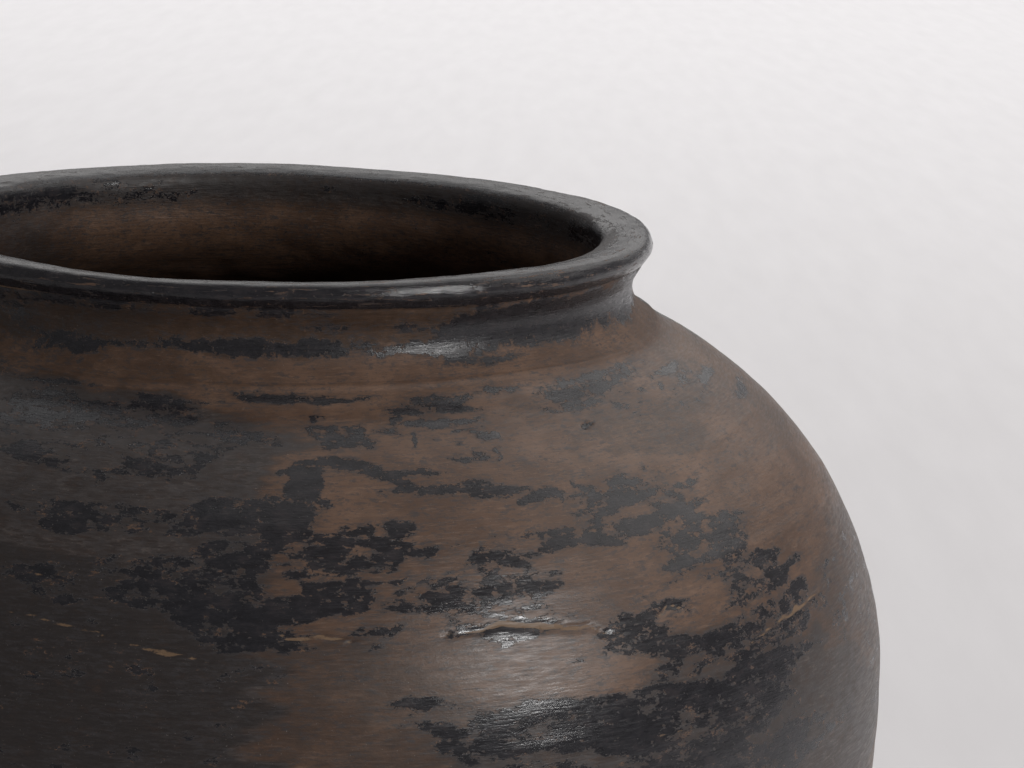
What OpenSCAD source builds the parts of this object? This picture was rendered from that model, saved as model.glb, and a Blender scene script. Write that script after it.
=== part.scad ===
// A wide-mouthed coil-built clay jar with a rolled lip and a small flat base.
// Every coil is its own ring, and neighbours meet on a sloping scarf face.

/* [Body] */
// Height of the centre of the belly above the ground
belly_z = 137.3; // [135:0.1:140]
// Widest radius of the belly
belly_r = 171.6; // [168:0.1:176]
// Radius of the bowl's curve, from the base to the belly
bowl_curve = 145.8; // [143:0.1:150]
// Radius of the shoulder's curve, from the belly to the neck
shoulder_curve = 102.8; // [101:0.1:105]
// Angle above level at which the bowl's curve turns into the shoulder's
bend_angle = 3.5; // [1:0.5:8]

/* [Wall] */
// Thickness of the wall
wall = 8.5; // [7:0.5:10]
// Thickness of the base disc
base_t = 9; // [8:0.5:11]
// How far a scarf joint slopes along the wall, from outside to inside
scarf = 5; // [2:0.5:8]

/* [Coils] */
// Angle above level of the seam between the bowl coils and the shoulder coils
seam_angle = 33.7; // [30:0.1:38]
// Angle above level at which the collar sits on the shoulder
collar_angle = 66; // [64:0.5:68]

/* [Neck and lip] */
// Radius of the neck at its narrowest, outside
neck_r = 98.4; // [97:0.1:99]
// Radius of the throat at its narrowest, inside
throat_r = 89.2; // [88:0.1:90]
// Radius of the lip, outside
lip_r = 103.7; // [103:0.1:105]
// Height of the lip's top above the ground
top_z = 262; // [261:0.1:263]
// Height of the lip's outer face
lip_face = 4.2; // [3:0.1:5]

/* [Hidden] */

$fn = 180;

// Coils in the bowl, below the seam, and in the shoulder, above it.
bowl_coils = 7;
shoulder_coils = 2;
wall_coils = bowl_coils + shoulder_coils;
// Straight steps that stand for the curve of one coil.
steps = 10;

// Centres of the two curves, as [radius, height]. They share a tangent at bend_angle.
bowl_c = [belly_r - bowl_curve, belly_z];
shoulder_c = bowl_c + (bowl_curve - shoulder_curve) * [cos(bend_angle), sin(bend_angle)];

// Angle at which the bowl's outside reaches the ground.
ground_angle = -asin(belly_z / bowl_curve);
// Angle at which the bowl's inside meets the top of the base disc.
floor_angle = -asin((belly_z - base_t) / (bowl_curve - wall));

// A point in the wall: a is the angle above level, and d the depth below the outside.
function wall_point(a, d) =
    a < bend_angle
        ? bowl_c + (bowl_curve - d) * [cos(a), sin(a)]
        : shoulder_c + (shoulder_curve - d) * [cos(a), sin(a)];

// Angle after going s mm along the outside from the ground, and its inverse.
arc = PI / 180;
bowl_length = (bend_angle - ground_angle) * arc * bowl_curve;
function angle_at(s) =
    s < bowl_length
        ? ground_angle + s / bowl_curve / arc
        : bend_angle + (s - bowl_length) / shoulder_curve / arc;
function length_at(a) =
    a < bend_angle
        ? (a - ground_angle) * arc * bowl_curve
        : bowl_length + (a - bend_angle) * arc * shoulder_curve;

// Angle of the top of coil i on the outside. Coil 0 stands for the ground edge.
seam_length = length_at(seam_angle);
collar_length = length_at(collar_angle);
function seam_out(i) =
    i <= bowl_coils
        ? angle_at(seam_length * i / bowl_coils)
        : angle_at(seam_length + (collar_length - seam_length) * (i - bowl_coils) / shoulder_coils);

// Angle of the same seam on the inside, lower by the scarf.
function seam_in(i) =
    i == 0 ? floor_angle : seam_out(i) - scarf / (shoulder_curve - wall) / arc;

// Points along the wall from angle a to angle b at depth d.
function wall_line(a, b, d) = [for (k = [0:steps]) wall_point(a + (b - a) * k / steps, d)];

// Neck and lip outline, as [radius, height], with heights down from the top.
collar_edge = [100.3, top_z - 20.3];
neck_waist = [neck_r, top_z - 14.4];
underside = [neck_r + 2.8, top_z - 7.8];
lip_low = [lip_r, top_z - 0.3 - lip_face];
lip_high = [lip_r - 0.5, top_z - 0.3];
lip_crest = [lip_r - 4.1, top_z];
lip_inner = [throat_r + 2, top_z - 1.3];
throat = [throat_r, top_z - 6];
throat_low = [throat_r + 0.4, top_z - 12];
// The rim coil sits on the collar on this line.
rim_seam_out = [neck_r + 1.2, top_z - 10.6];
rim_seam_in = [throat_r + 0.1, top_z - 8];

// Points between p and q on a curve that starts towards c and arrives from c.
function bend(p, c, q) = [for (k = [0:6]) let (t = k / 6)
    (1 - t) * (1 - t) * p + 2 * t * (1 - t) * c + t * t * q];

// A ring with the given half section.
module ring(section) {
    rotate_extrude() polygon(section);
}

// The flat pat of clay that the jar stands on.
module base_disc() {
    floor_edge = wall_point(floor_angle, wall);
    foot_edge = wall_point(ground_angle, 0);
    color("#3b302b")
        ring([[0, 0], [foot_edge[0], 0], floor_edge, [0, base_t]]);
}

// One coil of the wall, counted from the ground up.
module wall_coil(i) {
    color(i % 2 == 0 ? "#4a3b33" : "#42352f")
        ring(concat(
            wall_line(seam_out(i - 1), seam_out(i), 0),
            wall_line(seam_in(i), seam_in(i - 1), wall)));
}

// The collar, from the shoulder up through the waist of the neck.
module neck_collar() {
    foot_out = wall_point(collar_angle, 0);
    foot_in = wall_point(seam_in(wall_coils), wall);
    color("#5a4438")
        ring(concat(
            [foot_out],
            bend([foot_out[0] - 3, foot_out[1] + 2.2], [102.6, top_z - 22.6], collar_edge),
            bend(collar_edge, [neck_r, top_z - 17], neck_waist),
            bend(neck_waist, [neck_r, top_z - 12.4], rim_seam_out),
            [rim_seam_in, throat_low],
            bend(throat_low, [throat_r - 1.2, top_z - 26], foot_in)));
}

// The rolled lip.
module rim_coil() {
    color("#2c2b2e")
        ring(concat(
            [rim_seam_out, underside],
            bend(lip_low, [lip_r + 0.1, top_z - 2.4], lip_high),
            bend(lip_high, [lip_r - 1.6, top_z], lip_crest),
            bend(lip_crest, [lip_r - 8.5, top_z], lip_inner),
            bend(lip_inner, [throat_r, top_z - 1.8], throat),
            [rim_seam_in]));
}

base_disc();
for (i = [1:wall_coils]) wall_coil(i);
neck_collar();
rim_coil();
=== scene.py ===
import math

import bpy
import numpy as np
from mathutils import Matrix, Vector


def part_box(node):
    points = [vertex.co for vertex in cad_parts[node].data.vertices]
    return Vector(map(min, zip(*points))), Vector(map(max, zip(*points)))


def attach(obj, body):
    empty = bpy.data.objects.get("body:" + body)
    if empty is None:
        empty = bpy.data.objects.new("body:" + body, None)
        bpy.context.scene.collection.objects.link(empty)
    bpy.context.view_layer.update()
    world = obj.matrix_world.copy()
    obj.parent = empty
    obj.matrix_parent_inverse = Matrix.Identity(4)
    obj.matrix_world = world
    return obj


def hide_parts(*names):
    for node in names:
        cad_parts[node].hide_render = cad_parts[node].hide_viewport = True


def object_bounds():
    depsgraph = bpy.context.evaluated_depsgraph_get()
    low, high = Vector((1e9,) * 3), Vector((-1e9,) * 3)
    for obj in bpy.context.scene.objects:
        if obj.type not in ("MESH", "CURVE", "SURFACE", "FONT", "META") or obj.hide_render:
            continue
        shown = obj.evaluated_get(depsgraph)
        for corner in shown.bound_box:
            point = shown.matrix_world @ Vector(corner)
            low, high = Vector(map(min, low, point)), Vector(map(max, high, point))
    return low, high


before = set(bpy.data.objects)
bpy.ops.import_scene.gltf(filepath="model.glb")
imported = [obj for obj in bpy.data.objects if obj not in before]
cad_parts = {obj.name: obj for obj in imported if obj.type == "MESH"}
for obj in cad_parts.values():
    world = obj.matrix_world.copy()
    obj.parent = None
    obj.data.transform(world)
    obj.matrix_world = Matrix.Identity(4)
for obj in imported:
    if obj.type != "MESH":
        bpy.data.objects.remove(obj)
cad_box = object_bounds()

MM = 0.001
jar_low, jar_high = cad_box
jar_top = jar_high.z


# ---------------------------------------------------------------------------------------------
# Camera. A long lens stands a little to the right of the jar and above its lip. It is tipped
# down and slightly rolled, and the jar runs off the left and lower edges of its view.
# ---------------------------------------------------------------------------------------------
camera_place = Vector((66.9 * MM, -762.2 * MM, jar_top + 118.8 * MM))
tip_down = math.radians(12.07)
roll = math.radians(2.16)

level = Vector((1, 0, 0))
ahead = Vector((0, math.cos(tip_down), -math.sin(tip_down)))
upright = Vector((0, math.sin(tip_down), math.cos(tip_down)))
camera_right = level * math.cos(roll) + upright * math.sin(roll)
camera_up = upright * math.cos(roll) - level * math.sin(roll)

long_lens = bpy.data.cameras.new("long_lens")
long_lens.lens = 100
long_lens.sensor_width = 36
camera = bpy.data.objects.new("camera", long_lens)
turned = Matrix((camera_right, camera_up, -ahead)).transposed().to_4x4()
camera.matrix_world = Matrix.Translation(camera_place) @ turned
bpy.context.scene.collection.objects.link(camera)
bpy.context.scene.camera = camera
bpy.context.scene.view_settings.view_transform = "Standard"


# ---------------------------------------------------------------------------------------------
# Studio. A wide pale floor, one small soft window to the right of the camera, broad dim panels
# beside, above and behind the jar, one over the floor behind it, and weak light from all round.
# ---------------------------------------------------------------------------------------------
def soft_panel(name, azimuth, height_angle, distance, size, power, colour):
    """An area light that faces the jar's belly from an azimuth, a height angle and a distance."""
    a, e = math.radians(azimuth), math.radians(height_angle)
    away = Vector((math.sin(a) * math.cos(e), -math.cos(a) * math.cos(e), math.sin(e)))
    target = Vector((0, 0, 0.7 * jar_top))
    lamp = bpy.data.lights.new(name, "AREA")
    lamp.shape = "RECTANGLE"
    lamp.size, lamp.size_y = size
    lamp.energy = power
    lamp.color = colour
    holder = bpy.data.objects.new(name, lamp)
    holder.matrix_world = (Matrix.Translation(target + away * distance)
                           @ away.to_track_quat("Z", "Y").to_matrix().to_4x4())
    bpy.context.scene.collection.objects.link(holder)


soft_panel("window", 53, 27, 1.7, (0.22, 0.30), 11.5, (1.0, 0.99, 0.98))
soft_panel("side_panel", 112, 42, 2.6, (2.2, 1.8), 12.8, (1.0, 0.97, 0.94))
soft_panel("top_panel", 100, 82, 2.6, (1.4, 1.4), 3, (1.0, 0.98, 0.96))
soft_panel("back_panel", 170, 26, 5.8, (6.4, 3.2), 40, (1.0, 0.98, 0.96))

# The panel over the floor behind the jar has a narrowed spread, so less of its light is lost
# sideways on the jar.
sky = bpy.data.lights.new("sky_panel", "AREA")
sky.shape = "RECTANGLE"
sky.size = 16
sky.size_y = 12
sky.spread = math.radians(100)
sky.energy = 395
sky_panel = bpy.data.objects.new("sky_panel", sky)
sky_panel.location = (0, 7.1, 3)
bpy.context.scene.collection.objects.link(sky_panel)

air = bpy.data.worlds.new("studio_air")
air.use_nodes = True
air.node_tree.nodes["Background"].inputs["Color"].default_value = (0.98, 0.955, 0.97, 1)
air.node_tree.nodes["Background"].inputs["Strength"].default_value = 0.21
bpy.context.scene.world = air

floor_half = 30.0
floor_sheet = bpy.data.meshes.new("floor")
floor_sheet.from_pydata([(-floor_half, -floor_half, 0), (floor_half, -floor_half, 0),
                         (floor_half, floor_half, 0), (-floor_half, floor_half, 0)],
                        [], [(0, 1, 2, 3)])
floor = bpy.data.objects.new("floor", floor_sheet)
bpy.context.scene.collection.objects.link(floor)
floor_paint = bpy.data.materials.new("pale_floor")
floor_paint.use_nodes = True
floor_shader = floor_paint.node_tree.nodes["Principled BSDF"]
floor_shader.inputs["Roughness"].default_value = 0.9
# The paint is a little uneven, in soft blotches drawn out away from the camera.
floor_nodes, floor_links = floor_paint.node_tree.nodes, floor_paint.node_tree.links
floor_place = floor_nodes.new("ShaderNodeTexCoord")
floor_stretch = floor_nodes.new("ShaderNodeMapping")
floor_stretch.inputs["Scale"].default_value = (1, 0.16, 1)
blotches = floor_nodes.new("ShaderNodeTexNoise")
blotches.inputs["Scale"].default_value = 42
blotches.inputs["Detail"].default_value = 3
uneven_paint = floor_nodes.new("ShaderNodeMix")
uneven_paint.data_type = "RGBA"
uneven_paint.inputs[6].default_value = (0.79, 0.772, 0.78, 1)
uneven_paint.inputs[7].default_value = (0.87, 0.852, 0.86, 1)
floor_links.new(floor_place.outputs["Object"], floor_stretch.inputs["Vector"])
floor_links.new(floor_stretch.outputs["Vector"], blotches.inputs["Vector"])
floor_links.new(blotches.outputs[0], uneven_paint.inputs[0])
floor_links.new(uneven_paint.outputs[2], floor_shader.inputs["Base Color"])
floor_sheet.materials.append(floor_paint)


# ---------------------------------------------------------------------------------------------
# Base disc. A flat pat of clay that the jar stands on, beaten out by hand. The first coil is
# luted to its edge. What every later piece shares is worked out here: the line of the jar's
# skin, the unevenness that hands leave in it, and how a piece of the wall becomes a mesh.
# ---------------------------------------------------------------------------------------------
belly_r = (jar_high.x - jar_low.x) / 2
foot_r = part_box("base_disc")[1].x
floor_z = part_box("base_disc")[1].z
bowl_curve = 145.8 * MM
shoulder_curve = 102.8 * MM
wall = 8.5 * MM
scarf = 5.0 * MM
bend_angle = math.radians(3.5)
seam_angle = math.radians(33.7)
collar_angle = math.radians(66)

bowl_centre = np.array([belly_r - bowl_curve, 0.0])
bowl_centre[1] = math.sqrt(bowl_curve ** 2 - (foot_r - bowl_centre[0]) ** 2)
toward_bend = np.array([math.cos(bend_angle), math.sin(bend_angle)])
shoulder_centre = bowl_centre + (bowl_curve - shoulder_curve) * toward_bend
ground_angle = -math.asin(bowl_centre[1] / bowl_curve)
floor_angle = -math.asin((bowl_centre[1] - floor_z) / (bowl_curve - wall))


def wall_point(angle, depth):
    """[radius, height] in the wall: the bowl's arc below the bend and the shoulder's above it,
    each drawn in by depth."""
    centre, curve = ((bowl_centre, bowl_curve) if angle < bend_angle
                     else (shoulder_centre, shoulder_curve))
    return centre + (curve - depth) * np.array([math.cos(angle), math.sin(angle)])


def round_line(centre, radius, start, end):
    """Arc: centre plus radius times the cosine and sine of angles from start to end."""
    angle = np.linspace(start, end, 400)[:, None]
    return centre + radius * np.hstack([np.cos(angle), np.sin(angle)])


def bent_line(*points):
    """Quadratic curve from the first point to the last, pulled towards the middle one."""
    t = np.linspace(0, 1, 60)[:, None]
    start, pull, end = (np.array(p, float) for p in points)
    return (1 - t) ** 2 * start + 2 * t * (1 - t) * pull + t ** 2 * end


def from_top(radius, drop):
    """A point of the neck or lip, given in mm as its radius and its drop below the lip's top."""
    return np.array([radius * MM, jar_top - drop * MM])


collar_foot = wall_point(collar_angle, 0)
collar_foot_in = wall_point(collar_angle - scarf / (shoulder_curve - wall), wall)
collar_step = collar_foot + np.array([-3.0, 2.2]) * MM
collar_edge, waist = from_top(100.3, 20.3), from_top(98.4, 14.4)
rim_seam_out, rim_seam_in = from_top(99.6, 10.6), from_top(89.3, 8.0)
lip_low, lip_high, lip_crest = from_top(103.8, 4.4), from_top(102.3, 0.5), from_top(99.6, 0)
lip_inner, throat, throat_low = from_top(91.2, 1.3), from_top(89.2, 6.0), from_top(89.6, 12.0)

skin_line = np.concatenate([
    np.array([[0, 0]]),
    round_line(bowl_centre, bowl_curve, ground_angle, bend_angle),
    round_line(shoulder_centre, shoulder_curve, bend_angle, collar_angle),
    bent_line(collar_step, from_top(102.6, 22.6), collar_edge),
    bent_line(collar_edge, from_top(98.4, 17.0), waist),
    bent_line(waist, from_top(98.4, 12.4), rim_seam_out),
    bent_line(from_top(101.2, 7.8), from_top(102.6, 6.0), lip_low),
    bent_line(lip_low, from_top(103.5, 2.2), lip_high),
    bent_line(lip_high, from_top(101.5, 0), lip_crest),
    bent_line(lip_crest, from_top(95.2, 0), lip_inner),
    bent_line(lip_inner, from_top(89.2, 1.8), throat),
    bent_line(rim_seam_in, from_top(89.4, 10.0), throat_low),
    bent_line(throat_low, from_top(88.0, 26.0), collar_foot_in),
    round_line(shoulder_centre, shoulder_curve - wall,
               collar_angle - scarf / (shoulder_curve - wall), bend_angle),
    round_line(bowl_centre, bowl_curve - wall, bend_angle, floor_angle),
    np.array([[0, floor_z]])])

# The line is measured off as a run in metres. It is 0 where the jar meets the ground, negative
# across the underside, and goes on up the outside, over the lip and down the inside.
hop = np.hypot(*np.diff(skin_line, axis=0).T)
skin_line = skin_line[np.concatenate([[True], hop > 1e-7])]
skin_run = np.concatenate([[0], np.cumsum(np.hypot(*np.diff(skin_line, axis=0).T))]) - foot_r
fine = 0.1 * MM
even_run = np.arange(skin_run[0], skin_run[-1], fine)
sharp_skin = np.stack([np.interp(even_run, skin_run, skin_line[:, k]) for k in (0, 1)])
# A thumb rounds every edge: a bell-shaped average over about two millimetres of the line. Its
# width and its reach to either side are counted in steps of the line.
thumb_width, thumb_reach = 9, 30
thumb = np.exp(-0.5 * (np.arange(-thumb_reach, thumb_reach + 1) / thumb_width) ** 2)
thumb /= thumb.sum()
padded = np.pad(sharp_skin, ((0, 0), (thumb_reach, thumb_reach)), mode="reflect", reflect_type="odd")
soft_skin = np.stack([np.convolve(row, thumb, "valid") for row in padded])
skin_slope = np.gradient(soft_skin, fine, axis=1)
skin_slope /= np.hypot(*skin_slope)

columns = 1200
turn = np.arange(columns) / columns * 2 * math.pi
turn_degrees = (np.degrees(turn) + 180) % 360 - 180


def run_of(point):
    """Run of the place on the skin nearest a [radius, height] point."""
    return even_run[np.argmin(np.hypot(sharp_skin[0] - point[0], sharp_skin[1] - point[1]))]


def spline_shares(t):
    """The four cubic B-spline weights at a part t of the way through a cell."""
    return ((1 - t) ** 3 / 6, (3 * t ** 3 - 6 * t ** 2 + 4) / 6,
            (-3 * t ** 3 + 3 * t ** 2 + 3 * t + 1) / 6, t ** 3 / 6)


def spline_weights(place, count):
    """B-spline weights, at each place, of `count` values that run round in a ring."""
    cell = np.floor(place).astype(int)
    weights = np.zeros((len(place), count))
    for k, share in enumerate(spline_shares(place - cell)):
        weights[np.arange(len(place)), (cell + k - 1) % count] += share
    return weights


# Lattices already worked out, by seed.
lattices = {}


def lattice(along, around, seed):
    """Seeded random heights on rows `along` metres apart, of `around` values each, with every
    row joined by B-splines into one height for each column."""
    if seed not in lattices:
        rows = int(1.1 / along) + 5
        values = np.random.default_rng(seed).standard_normal((rows, around)).astype(np.float32)
        weights = spline_weights(turn / (2 * math.pi) * around, around).astype(np.float32)
        lattices[seed] = values @ weights.T
    return lattices[seed]


# Spline weights shrink random heights, and this brings them back to about unit size.
spline_gain = 2.1


def uneven(run, along, around, seed):
    """Soft random heights over the skin, of about unit size, from a lattice's rows joined by
    B-splines along the run. Each seed belongs to one spacing."""
    place = (run + 0.1) / along + 1
    cell = np.floor(place).astype(int)
    heights = lattice(along, around, seed)
    return spline_gain * sum(share[:, None] * heights[cell + k - 1]
                             for k, share in enumerate(spline_shares(place - cell)))


def bell(distance, width):
    """1 at distance 0, falling off as a bell with the given width."""
    return np.exp(-0.5 * (distance / width) ** 2)


def ease(value, start, end):
    """0 before start, 1 after end, and a smooth S between them."""
    t = np.clip((value - start) / (end - start), 0, 1)
    return t * t * (3 - 2 * t)


bowl_coils, shoulder_coils = 7, 2
seam_run = run_of(wall_point(seam_angle, 0))
collar_run = run_of(collar_foot)
rim_run = run_of(rim_seam_out)
throat_run = run_of(throat)
bowl_length = (bend_angle - ground_angle) * bowl_curve


def wall_angle(run):
    """Angle above level of the outside at a run: run over the curve's radius, past the bend."""
    if run < bowl_length:
        return ground_angle + run / bowl_curve
    return bend_angle + (run - bowl_length) / shoulder_curve


seams_out = np.concatenate([np.linspace(0, seam_run, bowl_coils + 1),
                            np.linspace(seam_run, collar_run, shoulder_coils + 1)[1:]])
seams_in = np.array([run_of(wall_point(floor_angle, wall))]
                    + [run_of(wall_point(wall_angle(s) - scarf / (shoulder_curve - wall), wall))
                       for s in seams_out[1:]])

# Drying cracks and gouges that follow the luted seams: the places of each as [turn in degrees,
# run in mm], then its width and depth in mm.
cracks = [
    ([(20, 235.5), (23, 236), (25, 237.2), (28, 235.8), (31, 234.6), (35, 231.5)], 1.5, 0.5),
    ([(5.5, 237.4), (8, 235.6), (10, 236.2), (12.5, 235)], 0.9, 0.4),
    ([(40, 234), (42, 235), (45, 233)], 0.7, 0.3),
    ([(-17, 238.6), (-14, 237.6), (-7, 235)], 0.62, 0.3),
    ([(-17.5, 248.2), (-14, 247.4), (-11, 246.4)], 0.55, 0.25),
    ([(-7, 233.8), (-3, 232.2), (2, 229.6)], 0.6, 0.25),
    ([(60, 214), (60.6, 219)], 0.3, 0.3),
    ([(63, 212), (62.6, 216)], 0.25, 0.25),
    ([(120, 243), (126, 242), (133, 243.4)], 0.6, 0.5),
    ([(-110, 207), (-104, 206.4), (-99, 207.6)], 0.6, 0.5),
    ([(-160, 273), (-154, 272), (-150, 272.4)], 0.5, 0.4),
    ([(168, 138), (174, 137), (179, 138.4)], 0.5, 0.4),
    ([(-60, 104), (-56, 103), (-50, 104)], 0.5, 0.4),
]
# Chips knocked out of the wall, given the same way. They are painted black inside, as the shade in each
# hollow.
chips = [
    ([(43.0, 286.2), (44, 286), (45.2, 286.8)], 1.0, 0.75),
    ([(-134, 262), (-133, 262.4), (-132, 262)], 1.4, 0.9),
]
# Shallow scratches, given the same way.
scratches = [
    ([(47.5, 218.6), (52, 221.6), (57, 223.6), (63, 225.2), (68, 226)], 0.8, 0.14),
    ([(36, 199), (38, 205), (42, 206), (46, 202)], 0.3, 0.08),
    ([(-27, 299), (-24, 291)], 0.2, 0.05),
    ([(80, 200), (95, 206), (104, 202)], 0.3, 0.08),
    ([(-80, 180), (-66, 186), (-58, 183)], 0.3, 0.08),
    ([(-160, 230), (-145, 224)], 0.3, 0.08),
]


def near_path(run, path):
    """Rows of the skin close to a path, how far each place on them lies from it in mm, and how
    wide the path still is there: 1 in its middle, less towards its ends. The path wavers."""
    stops = np.array(path, float)
    rows = np.flatnonzero((run / MM > stops[:, 1].min() - 4) & (run / MM < stops[:, 1].max() + 4))
    start, end = stops[0, 0], stops[-1, 0]
    along = np.clip(turn_degrees, start, end)
    centre = np.interp(along, stops[:, 0], stops[:, 1])
    off_end = (turn_degrees - along) * math.radians(1) * belly_r / MM
    taper = np.sin(math.pi * np.clip((along - start) / (end - start), 0.1, 0.9))
    waver = 0.3 * uneven(run[rows], 1.5 * MM, 500, 71) + 0.25 * uneven(run[rows], 6 * MM, 160, 72)
    return rows, np.hypot(run[rows, None] / MM - centre + waver, off_end), taper


# How far the lines cut round the rim lie above its seam, and the ring above the collar's seam.
tool_line_rise, face_line_rise = 3.6 * MM, 7.4 * MM
ring_rise = 6.0 * MM
# Runs in mm over which the burnishing marks grow stronger towards the lip.
lip_scored_from, lip_scored_to = 326, 330


def cut_line(run, rise):
    """Run of a line cut round the neck with a tool, a rise above the rim's seam. It wavers."""
    return rim_run + rise + 0.2 * MM * uneven(run, 60 * MM, 20, 60)


def relief(run):
    """Height of the hand-made skin over the true line, in metres, on rows at `run` and columns
    at `turn`: slow wandering, palm dents, burnishing facets, seams, cracks and scratches."""
    height = 0.45 * MM * uneven(run, 120 * MM, 5, 1)
    height += 0.16 * MM * uneven(run, 15 * MM, 22, 2)
    height += 0.05 * MM * uneven(run, 5 * MM, 60, 3)
    height += 0.022 * MM * uneven(run, 2.0 * MM, 110, 4)
    scored = 1 + 2 * ease(run / MM, lip_scored_from, lip_scored_to)[:, None]
    height += 0.010 * MM * uneven(run, 1.2 * MM, 260, 5) * scored
    run_column = run[:, None]
    # The collar's lower edge stands up as a thin ring over a scraped hollow.
    ring_run = collar_run + ring_rise + 0.25 * MM * uneven(run, 60 * MM, 26, 6)
    height += 0.38 * MM * bell(run_column - ring_run, 0.55 * MM)
    height -= 0.14 * MM * bell(run_column - ring_run + 2.2 * MM, 1.3 * MM)
    # Seams between coils are smeared over and show as faint swellings that come and go.
    for k, seam in enumerate(seams_out[1:-1]):
        strength = 0.5 + 0.5 * uneven(run, 60 * MM, 14, 20 + k)
        wander = seam + 1.6 * MM * uneven(run, 90 * MM, 9, 40 + k)
        height += 0.11 * MM * strength * bell(run_column - wander, 1.4 * MM)
        height -= 0.07 * MM * strength * bell(run_column - wander - 3 * MM, 2.2 * MM)
    # A tool line is cut round the neck just under the lip, and another on the lip's face.
    for rise, depth in ((tool_line_rise, 0.22), (face_line_rise, 0.07)):
        height -= depth * MM * bell(run_column - cut_line(run, rise), 0.35 * MM)
    for path, width, depth in cracks + chips + scratches:
        rows, off, taper = near_path(run, path)
        height[rows] -= depth * MM * bell(off, 0.6 * width * taper)
    # The inside was never burnished, so it is rougher.
    inside_rough = ease(run_column, throat_run, throat_run + 15 * MM)
    height += inside_rough * 0.12 * MM * uneven(run, 4 * MM, 90, 7)
    height *= ease(np.abs(run_column), 0, 12 * MM)
    # The underside is hollowed a little, so that the jar stands on its edge.
    hollow = -0.5 * MM * ease(-run_column, 0, 15 * MM) - np.abs(height) / 3
    return np.where(run_column < 0, hollow, height)


def skin_points(run):
    """Points of the skin: the line turned about the axis and pushed out along its normal by
    the relief. Shape (rows, columns, 3)."""
    radius, height = (np.interp(run, even_run, row)[:, None] for row in soft_skin)
    slope_r, slope_z = (np.interp(run, even_run, row)[:, None] for row in skin_slope)
    push = relief(run)
    radius = np.maximum(radius + push * slope_z, 0)
    height = height - push * slope_r
    return np.stack([radius * np.sin(turn), -radius * np.cos(turn), height], 2)


# The run of every row of each piece, kept for its coat.
rows_of = {}


def clay_piece(node, stretches, poles=()):
    """Mesh of one piece that replaces a CAD node: rows of the skin over each stretch (from, to,
    step) in turn, joined row to row, and last row to first unless it has poles. A pole is the
    row it closes, its height and which way it faces. A vertex's normal is the cross product of
    two steps along the skin, one round and one up, each between its neighbours."""
    points, normals, runs = [], [], []
    for start, end, step in stretches:
        count = max(3, int(round((end - start) / step)) + 1)
        run = np.linspace(start, end, count)
        gap = run[1] - run[0]
        wide = skin_points(np.concatenate([[start - gap], run, [end + gap]]))
        along = np.roll(wide, -1, 1) - np.roll(wide, 1, 1)
        up = wide[2:] - wide[:-2]
        normal = np.cross(along[1:-1], up)
        length = np.linalg.norm(normal, axis=2, keepdims=True)
        normals.append(normal / np.maximum(length, 1e-12))
        points.append(wide[1:-1])
        runs.append(run)
    points, normals, run = (np.concatenate(part) for part in (points, normals, runs))
    rows = len(run)
    grid = np.arange(rows * columns).reshape(rows, columns)
    lower = grid if not poles else grid[:-1]
    upper = np.roll(grid, -1, 0) if not poles else grid[1:]
    quads = np.stack([lower, np.roll(lower, -1, 1), np.roll(upper, -1, 1), upper], 2).reshape(-1, 4)
    corners, sizes = [quads.ravel()], [np.full(len(quads), 4)]
    spots = [points.reshape(-1, 3)]
    vertex_normals = [normals.reshape(-1, 3)]
    for k, (row, height, facing) in enumerate(poles):
        ring = grid[row]
        hub = np.full(columns, rows * columns + k)
        pair = (np.roll(ring, -1), ring) if row == 0 else (ring, np.roll(ring, -1))
        corners.append(np.stack([hub, *pair], 1).ravel())
        sizes.append(np.full(columns, 3))
        spots.append(np.array([[0, 0, height]]))
        vertex_normals.append(np.array([[0, 0, facing]]))
    spots, corners, sizes = (np.concatenate(part) for part in (spots, corners, sizes))
    mesh = bpy.data.meshes.new(node)
    mesh.vertices.add(len(spots))
    mesh.vertices.foreach_set("co", spots.astype(np.float32).ravel())
    mesh.loops.add(len(corners))
    mesh.loops.foreach_set("vertex_index", corners.astype(np.int32))
    mesh.polygons.add(len(sizes))
    mesh.polygons.foreach_set("loop_start", (np.cumsum(sizes) - sizes).astype(np.int32))
    mesh.update(calc_edges=True)
    mesh.validate()
    mesh.polygons.foreach_set("use_smooth", np.ones(len(mesh.polygons), bool))
    mesh.normals_split_custom_set_from_vertices(np.concatenate(vertex_normals))
    piece = bpy.data.objects.new(node + "_clay", mesh)
    bpy.context.scene.collection.objects.link(piece)
    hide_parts(node)
    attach(piece, "root")
    rows_of[piece.name] = run


# The disc has a pole under its hollowed underside and another on its floor.
hub_gap = 1.0 * MM
underside_z = 0.4 * MM
disc_step = 2.6 * MM
clay_piece("base_disc",
           [(-foot_r + hub_gap, 0, disc_step), (seams_in[0], skin_run[-1] - hub_gap, disc_step)],
           poles=((0, underside_z, -1), (-1, floor_z, 1)))


# ---------------------------------------------------------------------------------------------
# Bowl coils. Seven thick coils of clay, laid one on another from the base past the belly and
# smeared together inside and out. Each meets its neighbours on a sloping scarf face.
# ---------------------------------------------------------------------------------------------
outside_step, inside_step = 0.8 * MM, 2.4 * MM


def wall_coil(k):
    """Coil k: up the outside from seam to seam, over its scarf, and back down the inside."""
    clay_piece(f"wall_coil_{k}",
               [(seams_out[k - 1], seams_out[k], outside_step),
                (seams_in[k], seams_in[k - 1], inside_step)])


for k in range(1, bowl_coils + 1):
    wall_coil(k)


# ---------------------------------------------------------------------------------------------
# Shoulder coils. Two coils set inward to close the jar towards its neck, scraped thinner and
# burnished with a pebble in long level strokes.
# ---------------------------------------------------------------------------------------------
for k in range(bowl_coils + 1, bowl_coils + shoulder_coils + 1):
    wall_coil(k)


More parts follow.
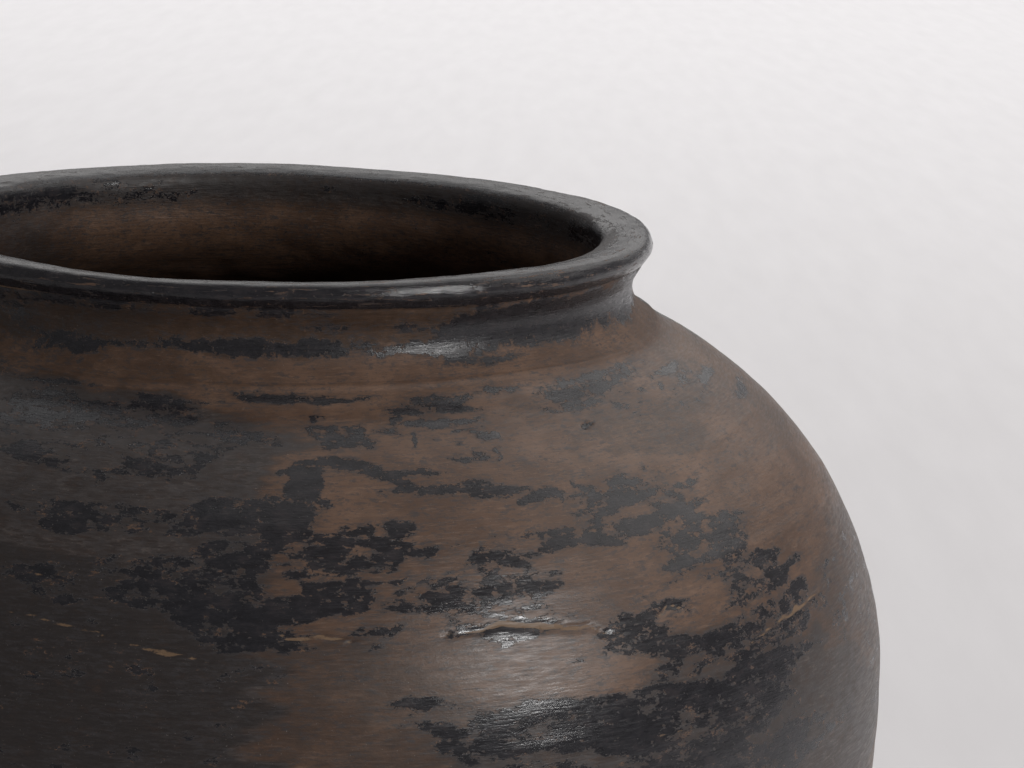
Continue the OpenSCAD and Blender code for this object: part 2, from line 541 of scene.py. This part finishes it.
# ---------------------------------------------------------------------------------------------
# Neck collar. A strap of clay pressed on round the opening. Its lower edge is left showing as
# a thin ring, and its waist is drawn in with a wet finger.
# ---------------------------------------------------------------------------------------------
clay_piece("neck_collar",
           [(collar_run, rim_run, 0.6 * MM),
            (run_of(rim_seam_in), seams_in[-1], 1.6 * MM)])


# ---------------------------------------------------------------------------------------------
# Rim coil. One even coil laid on the collar and turned out into a flat lip, trimmed with a
# tool that leaves a line under it.
# ---------------------------------------------------------------------------------------------
clay_piece("rim_coil", [(rim_run, run_of(rim_seam_in), 0.5 * MM)])


# ---------------------------------------------------------------------------------------------
# Coat. Thin black slip brushed over the whole jar and burnished, then smoked in the fire. It
# has flaked and rubbed off, and bare brown clay, a dark smoky film and ochre edges show. Part
# of the film is painted shade under the lip and painted light on the inner wall at the back
# right, and chips are painted black as shade.
# ---------------------------------------------------------------------------------------------
# Flakes of slip that are left: turn in degrees, run in mm, and half of each one's extent.
flakes = [
    # On the neck.
    (-4, 316.8, 4, 1.0), (1, 317, 6, 2.3), (8, 317, 8, 1.7), (13.5, 317, 4.5, 0.9), (22, 316, 1.6, 0.4),
    (14.4, 321.4, 1.2, 0.3), (27, 320.7, 2.2, 0.5), (27.4, 315.6, 2.4, 1.0), (-24, 315.6, 5, 1.1),
    (-15, 316, 5, 0.6), (31.5, 315, 3.2, 3.2), (33, 320, 3.4, 5), (40, 320.6, 9, 5.4),
    (37.6, 312.2, 3.2, 0.9), (54, 321, 14, 6.6), (52, 315.6, 8, 2), (72, 320.6, 18, 6.4),
    # Under the collar's ring.
    (-23, 303.8, 3.4, 0.7), (-8, 301.6, 3.8, 0.8), (5, 303.4, 3.8, 1.6), (12.4, 303, 4, 0.8),
    (21.5, 298.7, 2.3, 1.3), (19.9, 295.6, 0.8, 1.6), (26.4, 301.3, 3.2, 0.9), (27.4, 298, 2.1, 2.4),
    (36.7, 302.7, 2.4, 1.1), (45.4, 297.8, 3.9, 2.4), (52.2, 297.8, 3.6, 1.9), (52.5, 301.4, 7.5, 0.6),
    (45.5, 293.4, 1.8, 1.0), (59, 299, 3, 1.0),
    # The upper shoulder.
    (10.8, 295, 0.8, 1.8), (12, 292.6, 1.2, 0.5), (14.4, 291.6, 1.2, 0.6), (13.8, 287.2, 2.9, 2.7),
    (23.6, 293.6, 1.5, 1.5), (26.2, 292.6, 1.9, 1.6), (29.4, 292, 1.6, 0.8), (19.4, 290.6, 0.9, 0.7),
    (21.4, 286.6, 0.5, 1.7), (26.6, 279.6, 1.2, 0.8), (30.2, 280.4, 0.8, 1.2), (31, 287, 1.2, 1.2),
    # Round the bare round spot.
    (9.8, 281.4, 1.0, 1.0), (11.9, 281, 2.1, 1.5), (14.2, 279.2, 1.3, 0.9), (17, 277, 2.1, 1.1),
    (18, 273.6, 1.9, 2.1), (21.4, 277.4, 1.5, 0.5), (8.8, 275, 1.3, 5.2), (7.6, 266, 2.8, 4),
    # The long streak and what hangs under it.
    (24, 271.6, 4.2, 1.0), (28.3, 270.2, 2.3, 1.7), (33.6, 267, 1.6, 2.1), (37.5, 268, 0.5, 2.6),
    (43, 262.6, 3.2, 1.4), (51.2, 263, 1.9, 1.2), (43.5, 256, 3.8, 2.3), (49, 257.4, 2.8, 1.9),
    (37.5, 254, 2.2, 1.8), (26.5, 254, 1.6, 1.4), (18, 261, 1.3, 1.8), (16.5, 255, 0.6, 3.0),
    (11, 256.6, 2.3, 3.2), (13, 253, 2.6, 1.5), (14.6, 262, 1.8, 1.0), (14, 236.6, 1.4, 2.4),
    # Lower down.
    (18, 220, 2.2, 1.2), (19, 213.6, 1.6, 1.8), (42, 235.4, 2.6, 1.3), (38, 233, 1.6, 1.6),
    (70, 296, 5, 1.6), (78, 288, 4, 1.8), (84, 278, 5, 2.4),
]
# Bare spots rubbed clean inside darker places, given the same way.
bare_spots = [
    (14, 273.4, 3.6, 4.6), (13.2, 287.6, 1.2, 0.6), (15, 286.6, 0.8, 0.5), (6.2, 247.6, 1.5, 2.6),
    (12, 235.4, 3, 1.0), (24, 237.6, 3.4, 0.9), (51, 251.6, 1.2, 1.0), (47.5, 241.6, 2.6, 1.3),
    (47, 234, 3.4, 3.6), (42, 233.8, 2.0, 0.5), (43.6, 260.4, 2.0, 0.5),
    # On the lip and close under it.
    (1, 333.4, 7, 1.2), (9, 332, 3, 0.6), (-12, 334.6, 5, 0.8), (18, 335, 2.4, 0.6),
    (45, 327.2, 4, 0.7), (53, 326.4, 5, 0.8), (62, 327, 4, 0.8), (38, 324.6, 1.2, 0.4),
    (150, 334, 6, 1.0), (-140, 333, 5, 1.0), (-60, 334, 8, 0.9), (100, 333, 6, 0.8),
]
# Places where slip is left in mottles: turn, run, half of each extent, and how much is left.
mottled = [
    (-12, 294, 17, 7, 0.68), (-16, 283, 14, 9, 0.62), (-5, 264, 14, 6, 0.66), (-2, 249, 13, 8, 0.66),
    (6, 262, 5, 9, 0.80), (12.5, 256, 5, 6, 0.68), (12, 245, 7.5, 6, 0.92), (4, 239, 7, 7, 0.86),
    (24.5, 245, 5.5, 6, 0.74), (27, 238, 6, 5, 0.66), (28.5, 252, 6.5, 7, 0.72),
    (36, 261, 5, 7, 0.62), (40, 228, 5.5, 8, 0.70), (47, 225, 5, 5, 0.66), (47.5, 246, 4.5, 6, 0.68),
    (53.5, 243, 5.5, 12, 0.84), (50, 252, 4, 6, 0.80),
    (44, 224, 8, 6, 0.84), (56, 226, 8, 8, 0.74), (30, 212, 12, 7, 0.84), (45, 209, 13, 12, 0.9),
    (70, 222, 9, 12, 0.40), (36, 182, 28, 26, 0.82), (84, 205, 14, 30, 0.36), (24, 196, 12, 10, 0.6),
    (31.5, 287, 3, 8, 0.42), (46, 261, 7, 7, 0.60), (70, 286, 8, 8, 0.45), (50, 296, 13, 5, 0.4),
    (24, 293, 6, 5, 0.42), (12, 291, 4, 5, 0.45), (-20, 222, 24, 18, 0.3), (-16, 190, 24, 34, 0.3),
]
# Smoky places, given the same way, with how dark the smoke is. The two on the neck at runs 320 and 322
# darken it under the lip as painted shade.
smoke_and_neck_shade = [
    (-24, 283, 33, 21.5, 0.93), (-24, 258, 32, 20, 0.92), (-22, 236, 29, 20, 1.0),
    (-20, 205, 27, 32, 1.0), (-18, 170, 28, 30, 1.0), (-22, 310, 24, 6, 0.4), (-4, 322, 44, 8, 0.72),
    (14, 216, 9, 12, 0.62), (18, 228, 12, 6, 0.4), (34, 208, 14, 11, 0.85), (47, 206, 15, 15, 0.9),
    (46, 223, 10, 8, 0.72), (62, 198, 11, 16, 0.86),
    (74, 220, 13, 18, 0.62), (44, 178, 38, 28, 0.9), (86, 206, 20, 32, 0.66), (72, 288, 10, 10, 0.4),
    (12, 245, 7, 6, 0.35), (54, 281, 12, 11, 0.56), (38, 275, 12, 5, 0.26), (9.5, 226, 9, 10, 0.66),
    (-23, 320, 16, 8, 0.86), (66, 214, 9, 17, 0.62),
]
# On this stretch, from turn to turn and from run to run, most of the wear is given one by one. On
# the rest of the jar most of it is left to chance.
studied = (-32, 100, 165, 324)


def soft_box(run, first_turn, last_turn, first_run, last_run):
    """1 inside a patch of the skin and 0 outside it, with a soft edge."""
    across = (ease(turn_degrees, first_turn - 6, first_turn + 6)
              * (1 - ease(turn_degrees, last_turn - 6, last_turn + 6)))
    up = (ease(run / MM, first_run - 8, first_run + 8)
          * (1 - ease(run / MM, last_run - 1, last_run + 1)))
    return up[:, None] * across[None, :]


def spot_level(run, spots):
    """Highest level of a set of oval spots with ragged outlines: 0 at an oval's edge, and the
    smaller of its half height and 2.2 mm at its centre."""
    off_turn = (turn_degrees + 0.55 * uneven(run, 2.2 * MM, 230, 81)
                + 0.3 * uneven(run, 1.1 * MM, 520, 82))
    off_run = run[:, None] + MM * (0.5 * uneven(run, 2.5 * MM, 160, 83)
                                   + 0.25 * uneven(run, 1.0 * MM, 480, 84))
    level = np.full((len(run), columns), -2.0)
    for spot_turn, spot_run, half_turn, half_run in spots:
        rows = np.flatnonzero(np.abs(run / MM - spot_run) < 2 * half_run + 3)
        apart = np.hypot((off_turn[rows] - spot_turn) / half_turn,
                         (off_run[rows] / MM - spot_run) / half_run)
        level[rows] = np.maximum(level[rows], (1 - apart) * min(half_run, 2.2))
    return level


def coat(run):
    """Slip level (slip where it is above 0), smoky film and ochre, on rows at `run`. The level is
    the highest of the mottled zones, chance flakes and placed flakes, cut back by bare spots,
    and it is set apart on the lip, inside and underneath. The film also holds painted shade under
    the lip and painted light inside at the back right, and chips are painted black as shade."""
    mottle = (0.36 * uneven(run, 3.0 * MM, 90, 91) + 0.46 * uneven(run, 1.4 * MM, 240, 92)
              + 0.42 * uneven(run, 0.8 * MM, 520, 93))
    drift = uneven(run, 45 * MM, 9, 94) + 0.5 * uneven(run, 16 * MM, 26, 95)
    known = soft_box(run, *studied)
    share = (1 - known) * ease(drift, -1.2, 1.4) * 0.85
    smudge = drift + 0.3 * uneven(run, 9 * MM, 40, 96)
    smoke_and_shade = (1 - known) * ease(smudge, -0.5, 0.9) + known * 0.34 * ease(smudge, -0.6, 1.2)
    # The outlines of the zones wander widely and end in level streaks.
    off_turn = (turn_degrees + 1.5 * uneven(run, 14 * MM, 40, 85) + 1.3 * uneven(run, 2.4 * MM, 60, 86)
                + 1.0 * uneven(run, 1.1 * MM, 150, 87))
    off_run = run[:, None] / MM + 1.6 * uneven(run, 16 * MM, 50, 88) + 0.9 * uneven(run, 4 * MM, 160, 89)
    for zones, soft_edge, layer in ((mottled, 0.4, share), (smoke_and_neck_shade, 0.2, smoke_and_shade)):
        for mid_turn, mid_run, half_turn, half_run, strength in zones:
            apart = (np.abs((off_turn - mid_turn) / half_turn) ** 3.5
                     + np.abs((off_run - mid_run) / half_run) ** 3.5) ** (1 / 3.5)
            np.maximum(layer, strength * (1 - ease(apart, 1.06 - soft_edge, 1.06)), out=layer)
    level = (share - 0.6) * 3.2 + 0.85 * mottle
    # Off the studied stretch, slip hangs on as level, ragged flakes.
    ragged = uneven(run, 5 * MM, 44, 97) + 0.6 * uneven(run, 2.2 * MM, 120, 98) + 0.35 * mottle
    level = np.maximum(level, (1 - known) * (ragged + 0.5 * drift - 1.1)
                       + known * (0.3 * mottle - 1.3))
    level = np.maximum(level, 0.35 + 1.5 * spot_level(run, flakes) + 0.5 * mottle)
    level = np.minimum(level, 0.5 * mottle - 1.6 * spot_level(run, bare_spots))
    run_column = run[:, None]
    # Inside the lip the slip stops sooner in some places than in others.
    stop_run = throat_run - 9 * MM + 4 * MM * ease(uneven(run, 400 * MM, 5, 61), -0.4, 0.8)
    lip = (ease(run_column, rim_run + 3.2 * MM, rim_run + 4.4 * MM)
           * (1 - ease(run_column, stop_run - 2 * MM, stop_run + 3 * MM)))
    level = np.maximum(level, -1.5 + 3.1 * lip + 0.45 * mottle)
    within = ease(run_column, throat_run, throat_run + 6 * MM)
    level = level * (1 - within) - within * (1 - 0.3 * mottle)
    # Inside, the film is thinner round the back right, which paints light on the inner wall there.
    smoke_and_shade = smoke_and_shade * (1 - within) + within * (0.42 + 0.2 * drift - 0.5 * bell(turn_degrees - 140, 35))
    # Just inside the lip the smoke is thick, and it thins out down the throat.
    sooted = (ease(run_column, throat_run - 13 * MM, throat_run - 10 * MM)
              * (1 - ease(run_column, throat_run, throat_run + 11 * MM)))
    smoke_and_shade = np.maximum(smoke_and_shade, 0.97 * sooted)
    underside = 1 - ease(run_column, -2 * MM, 6 * MM)
    level = level * (1 - underside) - underside * (0.8 - 0.5 * mottle)
    ochre = np.full_like(level, -2.0)
    for path, width, _ in cracks + scratches:
        rows, off, taper = near_path(run, path)
        ochre[rows] = np.maximum(ochre[rows], 0.5 * width * taper - off)
    # Inside a chip the coat is painted black, as the shade in its hollow.
    for path, width, _ in chips:
        rows, off, taper = near_path(run, path)
        chip_painted_shade = 1 - ease(off, 0.35 * width * taper, 0.8 * width * taper)
        level[rows] = level[rows] * (1 - chip_painted_shade) + 3 * chip_painted_shade
    from_tool_line = np.abs(run_column - cut_line(run, tool_line_rise)) / MM
    bare_line = 0.16 * uneven(run, 20 * MM, 24, 99) - from_tool_line
    ochre = np.maximum(ochre, bare_line)
    return level, smoke_and_shade, ochre


def add_values(mesh, name, kind, values):
    """Stores one value, or one vector, at every vertex under the given name."""
    layer = mesh.attributes.new(name, kind, "POINT")
    layer.data.foreach_set("value" if kind == "FLOAT" else "vector", values.astype(np.float32).ravel())


def node(tree, kind, **settings):
    """Adds a shader node with the given settings."""
    made = tree.nodes.new(kind)
    for key, value in settings.items():
        setattr(made, key, value)
    return made


def number(tree, operation, *inputs, clamp=False):
    """A Math node of the given operation, fed by sockets or numbers. Returns its output."""
    made = node(tree, "ShaderNodeMath", operation=operation, use_clamp=clamp)
    for k, value in enumerate(inputs):
        if isinstance(value, (int, float)):
            made.inputs[k].default_value = value
        else:
            tree.links.new(value, made.inputs[k])
    return made.outputs[0]


def between(tree, value, low, high):
    """Smooth step of a socket: 0 below low, 1 above high."""
    made = node(tree, "ShaderNodeMapRange", interpolation_type="SMOOTHSTEP")
    tree.links.new(value, made.inputs["Value"])
    made.inputs["From Min"].default_value = low
    made.inputs["From Max"].default_value = high
    return made.outputs["Result"]


def times(tree, first, second):
    """Product of two sockets or numbers."""
    return number(tree, "MULTIPLY", first, second)


def centred(tree, noise, spread):
    """Noise less its middle value of a half, times a spread."""
    return times(tree, number(tree, "SUBTRACT", noise, 0.5), spread)


def blended(tree, share, first, second):
    """First colour times one less the share, plus second colour times the share."""
    made = node(tree, "ShaderNodeMix", data_type="RGBA")
    for socket, value in ((made.inputs[0], share), (made.inputs[6], first), (made.inputs[7], second)):
        if isinstance(value, float):
            socket.default_value = value
        elif isinstance(value, tuple):
            socket.default_value = (*value, 1)
        else:
            tree.links.new(value, socket)
    return made.outputs[2]


def grain(tree, wrap, girth, scale, detail=3.0, rough=0.6):
    """Noise on the wrapped skin. girth is the radius that the jar's round is shrunk to, so a
    small one draws the noise out into level strokes; scale is lumps per metre of run."""
    place = node(tree, "ShaderNodeMapping")
    place.inputs["Scale"].default_value = (girth, girth, 1)
    tree.links.new(wrap, place.inputs["Vector"])
    noise = node(tree, "ShaderNodeTexNoise")
    noise.inputs["Scale"].default_value = scale
    noise.inputs["Detail"].default_value = detail
    noise.inputs["Roughness"].default_value = rough
    tree.links.new(place.outputs[0], noise.inputs["Vector"])
    return noise.outputs[0]


# Runs in metres over which the skin passes on to the neck, its wiped clay and the lip.
neck_starts, neck_full = 0.300, 0.308
wiped_starts, wiped_full = 0.301, 0.309
lip_starts, lip_full = 0.3262, 0.3285


def skin_grain(tree):
    """What the layers of the coat share, by name: the stored values, the noises of the skin, and
    how far a place is on the neck or the lip."""
    wrap = node(tree, "ShaderNodeAttribute", attribute_name="wrap").outputs["Vector"]
    place = node(tree, "ShaderNodeSeparateXYZ")
    tree.links.new(wrap, place.inputs[0])
    skin = {"strokes": grain(tree, wrap, 0.016, 1900, 3.0),
            "long_strokes": grain(tree, wrap, 0.004, 900, 3.0),
            "lip_streaks": grain(tree, wrap, 0.010, 1300, 4.0, 0.65),
            "fibres": grain(tree, wrap, 0.035, 1250, 4.0, 0.7),
            "lumps": grain(tree, wrap, 0.075, 620, 2.0, 0.5),
            "patchy": grain(tree, wrap, 0.08, 420, 5.0, 0.7),
            "ragged": grain(tree, wrap, 0.085, 1700, 4.0, 0.68),
            "holes": grain(tree, wrap, 0.09, 800, 2.0, 0.6),
            "cloud": grain(tree, wrap, 0.10, 70, 4.0, 0.6),
            "speck": grain(tree, wrap, 0.17, 2600, 1.0, 0.5)}
    for stored in ("slip", "smoke_and_shade", "ochre"):
        skin[stored] = node(tree, "ShaderNodeAttribute", attribute_name=stored).outputs["Fac"]
    run = place.outputs["Z"]
    skin["above_ring"] = between(tree, run, neck_starts, neck_full)
    skin["wiped"] = between(tree, run, wiped_starts, wiped_full)
    skin["on_lip"] = between(tree, run, lip_starts, lip_full)
    skin["on_neck"] = number(tree, "SUBTRACT", skin["above_ring"], skin["on_lip"], clamp=True)
    return skin


def ragged_slip(tree, skin):
    """Stored slip level plus centred noises, less streaks worn on the lip and small holes. Slip is
    left where this is above nothing."""
    rough = number(tree, "ADD", centred(tree, skin["ragged"], 3.4), centred(tree, skin["strokes"], 1.8))
    level = number(tree, "ADD", skin["slip"], rough)
    level = number(tree, "ADD", level, centred(tree, skin["lumps"], 1.8))
    worn = times(tree, between(tree, skin["lip_streaks"], 0.55, 0.66), skin["on_lip"])
    level = number(tree, "SUBTRACT", level, times(tree, worn, 2.6))
    holes = between(tree, skin["holes"], 0.54, 0.66)
    return number(tree, "SUBTRACT", level, times(tree, holes, 1.1))


def bare_clay(tree, skin):
    """Brown clay in lighter and darker clouds, with dark and pale strokes and dark pits."""
    clouds = between(tree, skin["cloud"], 0.35, 0.68)
    clay = blended(tree, clouds, (0.082, 0.045, 0.028), (0.142, 0.081, 0.051))
    dark_strokes = times(tree, between(tree, skin["long_strokes"], 0.45, 0.7), 0.5)
    clay = blended(tree, dark_strokes, clay, (0.080, 0.048, 0.034))
    pale_strokes = times(tree, between(tree, skin["strokes"], 0.52, 0.72), 0.40)
    clay = blended(tree, pale_strokes, clay, (0.215, 0.132, 0.088))
    pits = times(tree, between(tree, skin["ragged"], 0.5, 0.72), 0.5)
    return blended(tree, pits, clay, (0.090, 0.056, 0.041))


def smoked_and_shaded_clay(tree, skin, clay):
    """Clay under smoke, by a share that is the stored film plus patchy noise, eased. On the neck the
    film is also painted shade under the lip, in amber.
    """
    smoke_and_shade = skin["smoke_and_shade"]
    share = number(tree, "ADD", smoke_and_shade, centred(tree, skin["patchy"], 1.1))
    share = times(tree, between(tree, share, 0.12, 1.04), 0.96)
    tone = number(tree, "ADD", times(tree, skin["strokes"], 0.3), times(tree, skin["patchy"], 0.7))
    tone = between(tree, tone, 0.40, 0.60)
    smoke_colour_and_shade = blended(tree, tone, (0.0195, 0.0168, 0.0168), (0.046, 0.0385, 0.0365))
    # Here and there the smoke is rubbed thin in fine pale mottles, but not where it is thickest.
    mottles = between(tree, skin["fibres"], 0.47, 0.66)
    rubbed = times(tree, mottles, between(tree, skin["cloud"], 0.38, 0.56))
    rubbed = times(tree, rubbed, number(tree, "SUBTRACT", 1.0, between(tree, smoke_and_shade, 0.9, 1.0)))
    smoke_colour_and_shade = blended(tree, times(tree, rubbed, 0.9), smoke_colour_and_shade, (0.102, 0.086, 0.078))
    # Thin smoke is brown. On the neck it is amber and the thick smoke is held back, which paints the
    # shade under the lip over the clay's amber tone.
    thin_smoke_and_neck_shade = blended(tree, skin["on_neck"], (0.040, 0.027, 0.021), (0.034, 0.0165, 0.0065))
    neck_shade_share = times(tree, skin["on_neck"], 0.7)
    thick = number(tree, "SUBTRACT", between(tree, smoke_and_shade, 0.55, 0.88), neck_shade_share, clamp=True)
    smoke_colour_and_shade = blended(tree, thick, thin_smoke_and_neck_shade, smoke_colour_and_shade)
    thickest = times(tree, between(tree, smoke_and_shade, 0.93, 1.0), 0.75)
    smoke_colour_and_shade = blended(tree, thickest, smoke_colour_and_shade, (0.019, 0.0165, 0.0165))
    return blended(tree, share, clay, smoke_colour_and_shade)


def coat_roughness(tree, skin, covered, bare):
    """A base of 0.40 plus the strokes, less on slip and on the lip, more on bare clay and on the
    neck. The collar was only wiped with a wet finger, so its bare clay is dullest."""
    rough = number(tree, "ADD", 0.40, centred(tree, skin["strokes"], 0.5))
    rough = number(tree, "SUBTRACT", rough, times(tree, covered, 0.17))
    rough = number(tree, "ADD", rough, times(tree, bare, 0.3))
    rough = number(tree, "SUBTRACT", rough, times(tree, skin["on_lip"], 0.10))
    rough = number(tree, "ADD", rough, times(tree, skin["on_neck"], 0.08))
    wiped = number(tree, "SUBTRACT", skin["wiped"], covered, clamp=True)
    return number(tree, "ADD", rough, times(tree, wiped, 0.2), clamp=True)


def coat_height(tree, skin, covered):
    """Height in mm of the fine grain: slip stands above clay, plus a share of each noise."""
    scores = times(tree, skin["above_ring"], skin["lip_streaks"])
    height = times(tree, covered, 0.05)
    for noise, share in ((skin["strokes"], 0.055), (skin["ragged"], 0.06),
                         (skin["patchy"], 0.06), (scores, 0.16)):
        height = number(tree, "ADD", height, times(tree, noise, share))
    return height


def worn_slip():
    """Brown clay under a smoky film under flaking blue-black slip, all burnished."""
    paint = bpy.data.materials.new("worn_black_slip")
    paint.use_nodes = True
    tree = paint.node_tree
    shader = tree.nodes["Principled BSDF"]
    shader.inputs["Specular IOR Level"].default_value = 0.42
    skin = skin_grain(tree)
    slip_level = ragged_slip(tree, skin)
    covered = between(tree, slip_level, -0.06, 0.14)

    # Round the flakes slip is left that is too thin to shine, as a stain and as a lace.
    colour = smoked_and_shaded_clay(tree, skin, bare_clay(tree, skin))
    stain = times(tree, between(tree, slip_level, -1.1, 0.0), 0.62)
    colour = blended(tree, stain, colour, (0.036, 0.031, 0.031))
    lace = times(tree, between(tree, slip_level, -2.3, -0.7), between(tree, skin["fibres"], 0.49, 0.58))
    colour = blended(tree, times(tree, lace, 0.72), colour, (0.040, 0.036, 0.0375))
    # Some flakes have an ochre edge.
    edge = times(tree, between(tree, slip_level, -0.5, -0.1), between(tree, skin["patchy"], 0.52, 0.62))
    colour = blended(tree, times(tree, edge, 0.55), colour, (0.19, 0.095, 0.045))
    slip_tone = between(tree, skin["patchy"], 0.35, 0.7)
    slip_colour = blended(tree, slip_tone, (0.0095, 0.0094, 0.0120), (0.0225, 0.0220, 0.0262))
    colour = blended(tree, times(tree, covered, 0.94), colour, slip_colour)
    # Cracks and scratches lay ochre clay bare, and dust lies in specks.
    bare = number(tree, "ADD", skin["ochre"], centred(tree, skin["ragged"], 0.6))
    bare = times(tree, between(tree, bare, -0.12, 0.12), 0.8)
    colour = blended(tree, bare, colour, (0.190, 0.118, 0.065))
    dust = times(tree, between(tree, skin["speck"], 0.745, 0.79), 0.5)
    colour = blended(tree, dust, colour, (0.26, 0.24, 0.22))
    tree.links.new(colour, shader.inputs["Base Color"])
    tree.links.new(coat_roughness(tree, skin, covered, bare), shader.inputs["Roughness"])

    bump = node(tree, "ShaderNodeBump")
    bump.inputs["Strength"].default_value = 0.8
    bump.inputs["Distance"].default_value = MM
    tree.links.new(coat_height(tree, skin, covered), bump.inputs["Height"])
    tree.links.new(bump.outputs[0], shader.inputs["Normal"])
    return paint


# Slip level, film and ochre at the poles, which have no row of their own.
pole_slip, pole_film, pole_ochre = -1.0, 0.7, -2.0

black_coat = worn_slip()
for piece_name, run in rows_of.items():
    mesh = bpy.data.objects[piece_name].data
    slip_level, smoke_and_shade_level, ochre_level = coat(run)
    wrapped = np.stack([np.broadcast_to(np.sin(turn), slip_level.shape),
                        np.broadcast_to(np.cos(turn), slip_level.shape),
                        np.broadcast_to(run[:, None], slip_level.shape)], 2).reshape(-1, 3)
    spare = len(mesh.vertices) - len(wrapped)
    add_values(mesh, "slip", "FLOAT", np.append(slip_level.ravel(), [pole_slip] * spare))
    add_values(mesh, "smoke_and_shade", "FLOAT", np.append(smoke_and_shade_level.ravel(), [pole_film] * spare))
    add_values(mesh, "ochre", "FLOAT", np.append(ochre_level.ravel(), [pole_ochre] * spare))
    add_values(mesh, "wrap", "FLOAT_VECTOR", np.vstack([wrapped, np.zeros((spare, 3))]))
    mesh.materials.append(black_coat)
